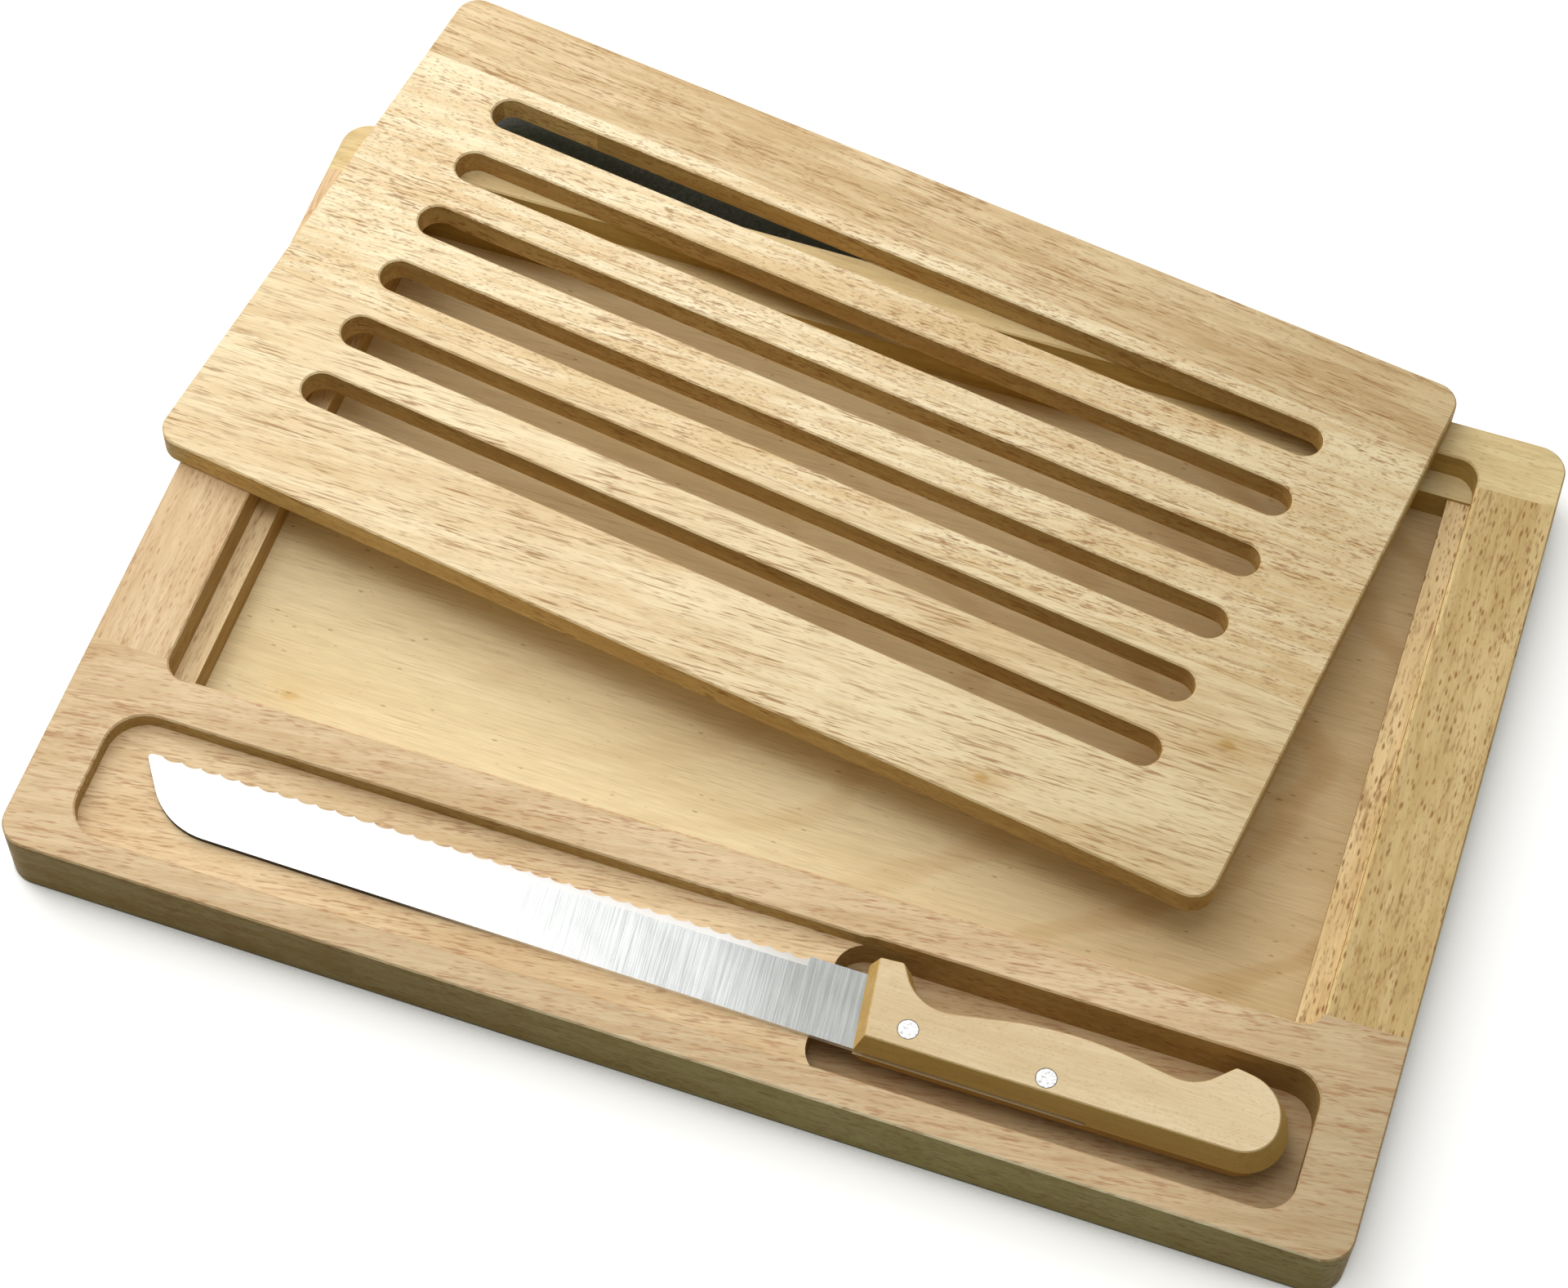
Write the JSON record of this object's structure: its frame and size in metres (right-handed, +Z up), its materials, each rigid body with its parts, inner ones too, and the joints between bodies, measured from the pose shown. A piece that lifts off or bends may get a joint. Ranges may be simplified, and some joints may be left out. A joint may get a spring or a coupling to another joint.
{
  "type": "bread board",
  "caption": "Wooden bread board: a framed crumb tray with a lift-off slotted cutting board and a scalloped bread knife lying in a recess along its front.",
  "frame": {"origin": "centre of the tray's underside, on the surface that it stands on", "axes": "+X to the right along the tray's long side, +Y from the knife side to the back, +Z up"},
  "size_m": [0.3868, 0.3159, 0.031],
  "materials": {
    "tray_wood": "oiled, satin",
    "floor_wood": "oiled, satin",
    "board_wood": "oiled, satin",
    "dowel_wood": "plain beech",
    "handle_wood": "smooth satin",
    "blade_steel": "brushed across the blade",
    "rivet_metal": "bright, filed flush"
  },
  "bodies": {
    "tray": {"front_board": "tray_wood", "back_rail": "tray_wood", "left_stile": "tray_wood", "right_stile": "tray_wood", "floor_panel": "floor_wood", "front_left_dowel_outer": "dowel_wood", "front_left_dowel_inner": "dowel_wood", "front_right_dowel_outer": "dowel_wood", "front_right_dowel_inner": "dowel_wood", "back_left_dowel_outer": "dowel_wood", "back_left_dowel_inner": "dowel_wood", "back_right_dowel_outer": "dowel_wood", "back_right_dowel_inner": "dowel_wood"},
    "board": {"board_stave_1": "board_wood", "board_stave_2": "board_wood", "board_stave_3": "board_wood", "board_stave_4": "board_wood"},
    "knife": {"knife_blade": "blade_steel", "knife_handle": "handle_wood", "front_rivet": "rivet_metal", "rear_rivet": "rivet_metal"}
  },
  "joints": [
    {"name": "board_lift", "type": "slide", "parent": "tray", "child": "board", "axis": [0, 0, 1], "range_m": [0, 0.06]},
    {"name": "knife_lift", "type": "slide", "parent": "tray", "child": "knife", "axis": [0, 0, 1], "range_m": [0, 0.05]}
  ]
}
